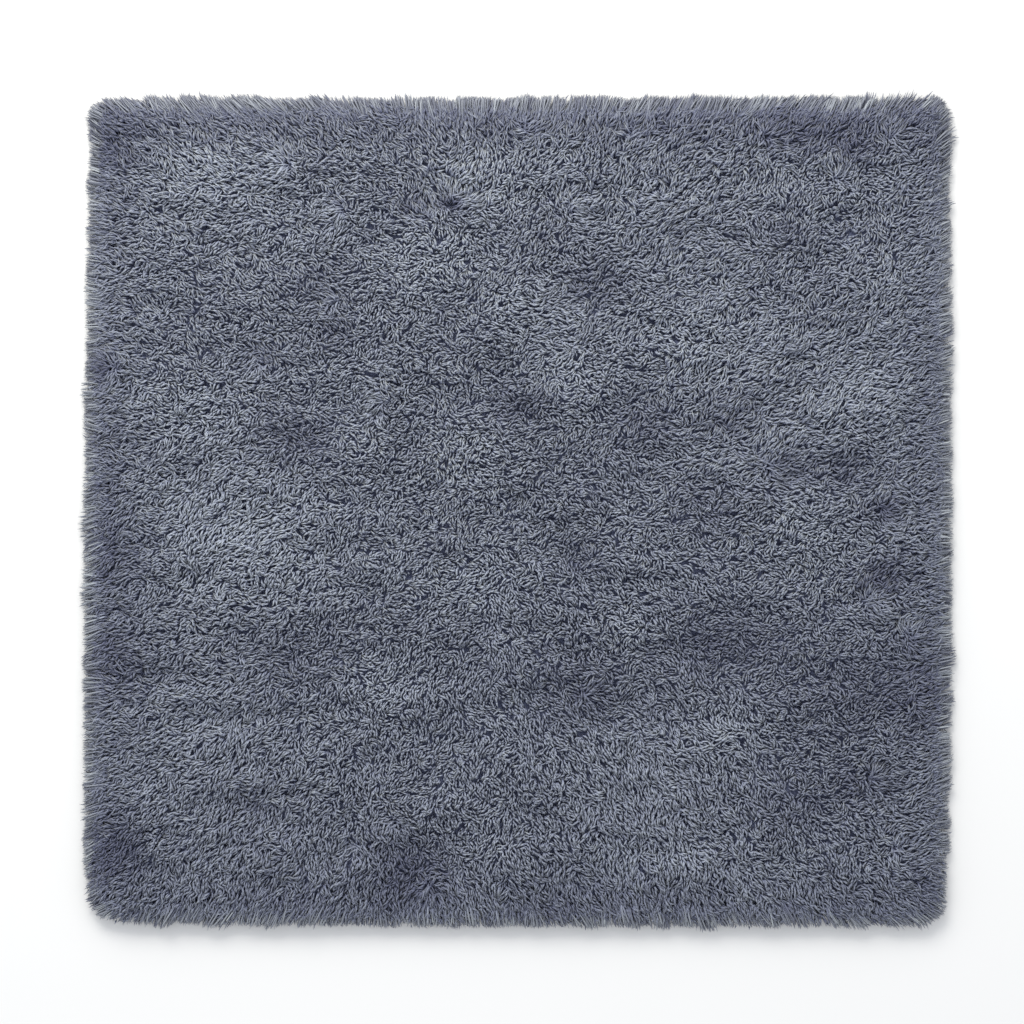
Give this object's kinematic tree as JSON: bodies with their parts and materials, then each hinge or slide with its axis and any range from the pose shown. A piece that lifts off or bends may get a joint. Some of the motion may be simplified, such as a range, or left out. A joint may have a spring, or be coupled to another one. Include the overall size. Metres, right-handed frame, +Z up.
{
  "type": "shag rug",
  "caption": "Long-pile shag rug, almost square with rounded corners, lying flat, with its pile splayed past the rim.",
  "frame": {"origin": "middle of the rug, on the floor that it lies on", "axes": "+X across the rug, +Y to its far side as the picture shows it, +Z up"},
  "size_m": [1.2, 1.15, 0.052],
  "materials": {
    "grey_pile": "long soft polyester pile, matt, with paler tips and a slight sheen"
  },
  "bodies": {
    "root": {"shag_rug": "grey_pile"}
  },
  "joints": []
}
